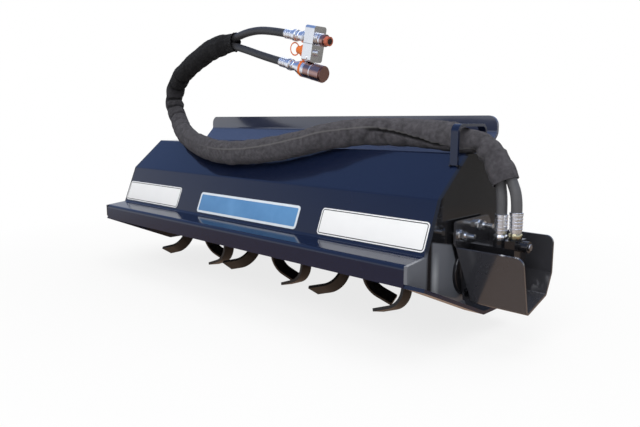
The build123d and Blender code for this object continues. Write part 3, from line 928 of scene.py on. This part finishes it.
        # A thin dark sheet along the block's seam stands for the shade in its gap: painted shade
        box(bm, turned_to(middle + down * BLOCK_SEAM, down), (*BLOCK_SECTION, 0.0010))
        dark = grained("painted gap shade", (0.01, 0.01, 0.01), 0.1, 0.7)
        seam = finish_piece(bm, "coupler_block_seam", [dark], FRAME_BODY, False)
        bm = bmesh.new()
        for side in (-1, 1):
            spot = middle + down * BLOCK_SCREW + Vector((0, side * BLOCK_SIDE, 0))
            lathe(bm, turned_to(spot, (0, side, 0), (0, 0, 1)), [(0.0022, 0.009)], 0.0005, 20)
        screws = finish_piece(bm, "coupler_block_screws", metals, FRAME_BODY)
        bm = bmesh.new()
        cap = start + down * CAP_DROP
        lathe(bm, turned_to(cap, -along), [(0.003, 0.034), (0.002, 0.032), (0.015, 0.034)],
              0.0010, 40, ORANGE)
        lathe(bm, turned_to(cap - along * CAP_RUN, -along), [(CAP_STEM, 0.022)], 0.0020,
              material=ORANGE)
        cap_piece = finish_piece(bm, "dust_cap_rubber", metals, FRAME_BODY)
        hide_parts("dust_cap")
        bm = bmesh.new()
        profile = bmesh.ops.create_circle(bm, segments=10, radius=0.0017)["verts"]
        bmesh.ops.transform(bm, matrix=Matrix.Rotation(pi / 2, 4, "X"), verts=profile)
        bmesh.ops.translate(bm, vec=(0.015, 0, 0), verts=profile)
        bmesh.ops.spin(bm, geom=profile + edges_of(profile), cent=(0, 0, 0), axis=(0, 0, 1),
                       angle=2 * pi, steps=36, use_merge=True)
        bmesh.ops.remove_doubles(bm, verts=bm.verts, dist=1e-6)
        bmesh.ops.scale(bm, vec=(0.8, 1.15, 1), verts=bm.verts)
        tip = cap - along * (CAP_RUN + CAP_STEM + 0.014)
        bmesh.ops.transform(bm, matrix=turned_to(tip, (-0.72, 0.68, 0.1), (0, 0, 1)),
                            verts=bm.verts)
        loop = finish_piece(bm, "dust_cap_loop", metals[ORANGE:], FRAME_BODY)
        return [seam, screws, cap_piece, loop]


class ROTAVATOR_OT_labels(bpy.types.Operator):
    """Make the blank labels on the hood's steep face"""

    bl_idname = "rotavator.labels"
    bl_label = "Blank labels"

    def execute(self, context):
        white = grained("label white", (0.91, 0.915, 0.92), 0.04, 0.30, sizes=(6, 600, 20),
                        swing=0.05)
        border = grained("label border", (0.03, 0.03, 0.035), 0.1, 0.35)
        pale = grained("decal white", (0.72, 0.78, 0.84), 0.05, 0.25, sizes=(6, 600, 20))
        blue = grained("decal blue", (0.055, 0.20, 0.46), 0.15, 0.25, sizes=(6, 600, 12),
                       other=(0.16, 0.38, 0.68))
        lined = ((0.0028, 0), (0.0022, 1))
        self.label("label_left", lined, white, border)
        self.label("label_right", lined, white, border)
        self.label("decal_middle", ((0.0065, 1),), blue, pale)
        return {"FINISHED"}

    def label(self, name, rims, face, edge):
        """One thin plate with (width, material) rims, a hair off the steep face."""
        left, right, low, high = LABEL_PLACES[name]
        foot = Vector((0, *STEEP_FOOT))
        climb = (Vector((0, *STEEP_TOP)) - foot).normalized()
        out = Vector((-1, 0, 0)).cross(climb)
        out = out if out.y < 0 else -out
        middle = foot + climb * ((low + high) / 2)
        spot = Vector((HOOD_LEFT + (left + right) / 2, HOOD_FRONT + middle.y, middle.z))
        bm = bmesh.new()
        made = bmesh.ops.create_grid(bm, x_segments=1, y_segments=1, size=0.5)["verts"]
        bmesh.ops.scale(bm, vec=(right - left, high - low, 1), verts=made)
        bmesh.ops.bevel(bm, geom=list(bm.verts), offset=LABEL_CORNER, affect="VERTICES",
                        segments=6, profile=0.5, material=-1)
        plate = list(bm.faces)
        for width, look in rims:
            ring = bmesh.ops.inset_region(bm, faces=plate, thickness=width, use_boundary=True,
                                          use_even_offset=True)["faces"]
            for each in ring:
                each.material_index = look
        bmesh.ops.solidify(bm, geom=list(bm.faces), thickness=LABEL_SHEET)
        place = Matrix((Vector((1, 0, 0)), climb, out)).transposed().to_4x4()
        bmesh.ops.transform(bm, matrix=Matrix.Translation(spot + out * LABEL_GAP) @ place,
                            verts=bm.verts)
        finish_piece(bm, name, [face, edge], FRAME_BODY, False)


class ROTAVATOR_OT_fasteners(bpy.types.Operator):
    """Make the bolts, welds and small fittings"""

    bl_idname = "rotavator.fasteners"
    bl_label = "Bolts and welds"

    def execute(self, context):
        steel = grained("bolt steel", (0.30, 0.30, 0.31), 0.25, 0.34, metallic=1.0,
                        sizes=FINE_GRAIN, swing=0.1)
        painted = grained("bolt paint", (0.012, 0.012, 0.014), 0.2, 0.22,
                          sizes=FINE_GRAIN, swing=0.05)
        self.tine_bolts([steel, painted])
        self.housing_bolts([steel, painted])
        self.motor_bolts([steel, painted])
        self.rotor_welds(painted)
        self.guide_welds(painted)
        return {"FINISHED"}

    def tine_bolts(self, metals):
        """Two bolts through each tine and its flange."""
        bm = bmesh.new()
        for x, flange_turn in zip(FLANGE_XS, FLANGE_TURNS):
            centre = Matrix.Translation((x, ROTOR_Y, ROTOR_Z))
            for hand, turn in ((-1, 0), (1, HAND_TURN)):
                for half in (0, 180):
                    tine = centre @ Matrix.Rotation(radians(flange_turn + turn + half), 4, "X")
                    for side in (-TINE_BOLT_HALF, TINE_BOLT_HALF):
                        head = tine @ turned_to(
                            (hand * TINE_FACE, side, TINE_BOLT_REACH), (hand, 0, 0))
                        back = tine @ turned_to(
                            (-hand * FLANGE_FACE, side, TINE_BOLT_REACH), (-hand, 0, 0))
                        lathe(bm, head, [(WASHER, 0.0175)], 0.0003, 16)
                        prism(bm, head @ Matrix.Translation((0, 0, WASHER)), 6,
                              TINE_NUT_RADIUS, 0.0062)
                        prism(bm, back, 6, TINE_NUT_RADIUS, 0.0075)
        finish_piece(bm, "tine_bolts", metals, ROTOR_BODY, False)

    def housing_bolts(self, metals):
        """Four bolts in the left bearing housing, and its end cap."""
        bm = bmesh.new()
        face = HOOD_LEFT - HOUSING_DEPTH
        for turn in (45, 135, 225, 315):
            spot = (face, ROTOR_Y + HOUSING_BOLT_RADIUS * cos(radians(turn)),
                    ROTOR_Z + HOUSING_BOLT_RADIUS * sin(radians(turn)))
            prism(bm, turned_to(spot, (-1, 0, 0)), 6, 0.0085, 0.0055)
        lathe(bm, turned_to((face, ROTOR_Y, ROTOR_Z), (-1, 0, 0)),
              [(0.0015, 0.046), (0.0018, 0.030)], 0.0005, 40, PAINTED)
        finish_piece(bm, "housing_bolts", metals, FRAME_BODY)

    def motor_bolts(self, metals):
        """Screws of the motor's flange, its end cover and its port block."""
        bm = bmesh.new()
        motor = HOOD_RIGHT + END_SHEET + GUARD_SHEET
        for y in (-MOTOR_BOLT_HALF, MOTOR_BOLT_HALF):
            for z in (-MOTOR_BOLT_HALF, MOTOR_BOLT_HALF):
                spot = (motor + MOTOR_FLANGE, ROTOR_Y + y, ROTOR_Z + z)
                prism(bm, turned_to(spot, (1, 0, 0)), 6, 0.0072, 0.0065)
        for i in range(6):
            turn = radians(60 * i + 30)
            spot = (motor + MOTOR_LENGTH + MOTOR_COVER, ROTOR_Y + COVER_BOLT_RADIUS * cos(turn),
                    ROTOR_Z + COVER_BOLT_RADIUS * sin(turn))
            prism(bm, turned_to(spot, (1, 0, 0)), 6, 0.0052, 0.0045)
        plug = (HOOD_RIGHT + PORT_BLOCK_END + PLUG_REACH, ROTOR_Y, PLUG_HEIGHT)
        prism(bm, turned_to(plug, (1, 0, 0)), 6, 0.0075, 0.004)
        finish_piece(bm, "motor_screws", metals, FRAME_BODY)

    def bead(self, bm, place):
        """A round weld bead with its ripples, about a place's Z axis."""
        before = set(bm.verts)
        profile = bmesh.ops.create_circle(bm, segments=8, radius=BEAD_HALF)["verts"]
        bmesh.ops.transform(bm, matrix=Matrix.Translation((BEAD_RADIUS, 0, 0)) @
                            Matrix.Rotation(pi / 2, 4, "X"), verts=profile)
        bmesh.ops.spin(bm, geom=profile + edges_of(profile), cent=(0, 0, 0), axis=(0, 0, 1),
                       angle=2 * pi, steps=BEAD_STEPS, use_merge=True)
        fresh = [vert for vert in bm.verts if vert not in before]
        for vert in fresh:
            turn = atan2(vert.co.y, vert.co.x)
            vert.co.z *= 1 + BEAD_RIPPLE_SHARE * sin(turn * BEAD_RIPPLES)
        bmesh.ops.transform(bm, matrix=place, verts=fresh)

    def rotor_welds(self, paint):
        """Beads where the flanges meet the rotor tube."""
        bm = bmesh.new()
        for x in FLANGE_XS:
            for side in (-1, 1):
                spot = (x + side * BEAD_OFFSET, ROTOR_Y, ROTOR_Z)
                self.bead(bm, turned_to(spot, (1, 0, 0)))
        finish_piece(bm, "rotor_welds", [paint], ROTOR_BODY)

    def guide_welds(self, paint):
        """Beads at the feet of the hose guide."""
        bm = bmesh.new()
        for depth, height in GUIDE_FEET:
            for side in (-GUIDE_FOOT_HALF, GUIDE_FOOT_HALF):
                place = Matrix.Translation((GUIDE_X + side, HOOD_FRONT + depth, height))
                box(bm, place, GUIDE_WELD, 0.0012)
        finish_piece(bm, "guide_welds", [paint], FRAME_BODY)


class ROTAVATOR_OT_paint(bpy.types.Operator):
    """Paint and plate the frame's own pieces"""

    bl_idname = "rotavator.paint"
    bl_label = "Paint and plating"

    def execute(self, context):
        colours = context.scene.rotavator_paint
        blue = grained("hood paint", colours.hood, 0.10, 0.13, bump=0.0010,
                       sizes=(3.5, 700, 5), peel=0.004, swing=0.04, scuff=0.05)
        black = grained("end paint", colours.ends, 0.15, 0.09, bump=0.0007,
                        sizes=(3.5, 700, 5), peel=0.003, swing=0.03, scuff=0.04)
        # The mount plate's paint is a lighter copy of the hood's, as painted reflection of the sky
        plate = grained("plate paint with painted reflection", [c * 1.8 + 0.026 for c in colours.hood], 0.10, 0.20,
                        bump=0.0010, sizes=(3.5, 700, 5), peel=0.004, swing=0.05, scuff=0.05)
        # The guard's paint is a lighter copy of the end paint, as painted reflection of bright
        # surroundings
        guard = grained("guard paint with painted reflection", [c * 2.6 + 0.008 for c in colours.ends], 0.15, 0.15,
                        bump=0.0007, sizes=(3.5, 700, 5), peel=0.003, swing=0.04, scuff=0.05)
        for each in (plate, guard):
            shader = each.node_tree.nodes["Principled BSDF"]
            set_socket(shader, "Coat Weight", 0.8)
            set_socket(shader, "Coat IOR", 1.7)
            set_socket(shader, "Coat Roughness", 0.12)
        tine_steel = grained("tine steel", (0.014, 0.012, 0.011), 0.5, 0.36,
                             bump=0.0003, sizes=(60, 600, 30), peel=0.2, swing=0.1, scuff=0.1)
        zinc = grained("zinc plating", (0.80, 0.82, 0.83), 0.14, 0.26, metallic=1.0,
                       sizes=FINE_GRAIN, swing=0.08)
        chrome = grained("block plating", (0.88, 0.90, 0.93), 0.10, 0.20, metallic=1.0,
                         sizes=(30, 900, 60), swing=0.05, bump=0.0002)
        finishes = (
            (blue, 0.0009, ["hood", "skid_left", "skid_right", "hose_guide"]),
            (plate, 0.0009, ["mount_plate"]),
            (guard, 0.0009, ["motor_guard"]),
            (self.sunlit(black), 0.0009, ["end_plate_right"]),
            (black, 0.0009, ["end_plate_left", "hydraulic_motor", "motor_end_cover",
                             "bearing_housing_left", "bearing_housing_right"]),
            (tine_steel, 0.0008, ["rotor_tube", "tines_left_hand", "tines_right_hand"]),
            (zinc, 0.0007, ["mount_bolts"]),
            (chrome, 0.0010, ["coupler_bracket"]),
            (self.coupler_colours_and_painted_light(chrome, 1), 0.0006, ["quick_coupler_1"]),
            (self.coupler_colours_and_painted_light(chrome, 2), 0.0006, ["quick_coupler_2"]),
        )
        for material, bevel, names in finishes:
            for name in names:
                finish_node(name, material, bevel)
        return {"FINISHED"}

    def sunlit(self, paint):
        """The end paint with a pale patch, for light thrown by the guard's front wall."""
        material = paint.copy()
        material.name = "end paint with patch"
        tree = material.node_tree
        base = tree.nodes["Principled BSDF"].inputs["Base Color"]
        axes = add_axes(tree)[1]
        y, z = axes["Y"], axes["Z"]
        top = add_math(tree, "MULTIPLY_ADD", y, -PATCH_TOP_SLOPE, PATCH_TOP)
        edge = add_math(tree, "MULTIPLY_ADD", z, -PATCH_EDGE_SLOPE, PATCH_EDGE)
        below = add_range(tree, add_math(tree, "SUBTRACT", top, z), 0.0, PATCH_FADE)
        before = add_range(tree, add_math(tree, "SUBTRACT", edge, y), 0.0, PATCH_FADE)
        off_band = add_math(tree, "ABSOLUTE", add_math(tree, "ADD", y, -BAND_Y))
        patch = add_math(tree, "MULTIPLY", add_math(tree, "MULTIPLY", below, before),
                         add_range(tree, off_band, *BAND_SPAN))
        off_streak = add_math(tree, "ABSOLUTE", add_math(tree, "ADD", y, -STREAK_Y))
        streak = add_range(tree, off_streak, 0.0, STREAK_HALF, 1.0, 0.0)
        bright = add_math(tree, "MULTIPLY", streak, add_range(tree, z, *STREAK_DROP))
        lit = add_mix(tree, bright, PATCH_COLOUR, STREAK_COLOUR)
        tree.links.new(add_mix(tree, patch, base.links[0].from_socket, lit), base)
        return material

    def coupler_colours_and_painted_light(self, plating, number):
        """The plating with a coupler's band of painted brown reflection, its red end, and its open
        bore painted dark as shade.
        """
        root, along = COUPLER_AXES[number - 1]
        brown_reflection_from, brown_reflection_to, end, bore = COUPLER_MARKS[number - 1]
        material = plating.copy()
        material.name = f"coupler {number} colours_and_painted_light"
        tree = material.node_tree
        shader = tree.nodes["Principled BSDF"]
        away = add_vector(tree, "SUBTRACT", add_axes(tree)[0], root)
        run = add_vector(tree, "DOT_PRODUCT", away, along)
        radius = add_vector(tree, "LENGTH", add_vector(tree, "CROSS_PRODUCT", away, along))
        colour = shader.inputs["Base Color"].links[0].from_socket
        # Painted reflection: a band of brown ground mirrored in the plating, not wear
        worn = add_math(tree, "MULTIPLY", add_math(tree, "GREATER_THAN", run, brown_reflection_from),
                        add_math(tree, "LESS_THAN", run, brown_reflection_to))
        colour = add_mix(tree, add_math(tree, "MULTIPLY", worn, 0.8), colour,
                         (0.34, 0.13, 0.09))
        tip = add_math(tree, "GREATER_THAN", run, end)
        colour = add_mix(tree, tip, colour, (0.50, 0.12, 0.06))
        # Painted shade: the open bore is painted dark
        bore_shade = add_math(tree, "MULTIPLY", tip, add_math(tree, "LESS_THAN", radius, bore))
        colour = add_mix(tree, bore_shade, colour, (0.03, 0.02, 0.02))
        tree.links.new(colour, shader.inputs["Base Color"])
        tree.links.new(add_math(tree, "SUBTRACT", 1.0, tip), shader.inputs["Metallic"])
        return material


OPERATORS = (
    ROTAVATOR_OT_stage,
    ROTAVATOR_OT_sleeve,
    ROTAVATOR_OT_hoses,
    ROTAVATOR_OT_labels,
    ROTAVATOR_OT_fasteners,
    ROTAVATOR_OT_paint,
)
SETTINGS = {
    "rotavator_stage": StageSettings,
    "rotavator_sleeve": SleeveSizes,
    "rotavator_paint": PaintColours,
}


class ROTAVATOR_PT_panel(bpy.types.Panel):
    """Lists the rotavator's dressing steps"""

    bl_idname = "ROTAVATOR_PT_panel"
    bl_label = "Rotavator"
    bl_space_type = "VIEW_3D"
    bl_region_type = "UI"
    bl_category = "Rotavator"

    def draw(self, context):
        for operator in OPERATORS:
            self.layout.operator(operator.bl_idname)
        for name, group in SETTINGS.items():
            frame_box = self.layout.box()
            for key in group.__annotations__:
                frame_box.prop(getattr(context.scene, name), key)


def register():
    for each in (*SETTINGS.values(), *OPERATORS, ROTAVATOR_PT_panel):
        bpy.utils.register_class(each)
    for name, group in SETTINGS.items():
        setattr(bpy.types.Scene, name, bpy.props.PointerProperty(type=group))


def unregister():
    for name in SETTINGS:
        delattr(bpy.types.Scene, name)
    for each in reversed((*SETTINGS.values(), *OPERATORS, ROTAVATOR_PT_panel)):
        bpy.utils.unregister_class(each)


def main():
    """Registers the add-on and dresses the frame."""
    register()
    for name in ("stage", "sleeve", "hoses", "labels", "fasteners", "paint"):
        getattr(bpy.ops.rotavator, name)()


if __name__ == "__main__":
    main()
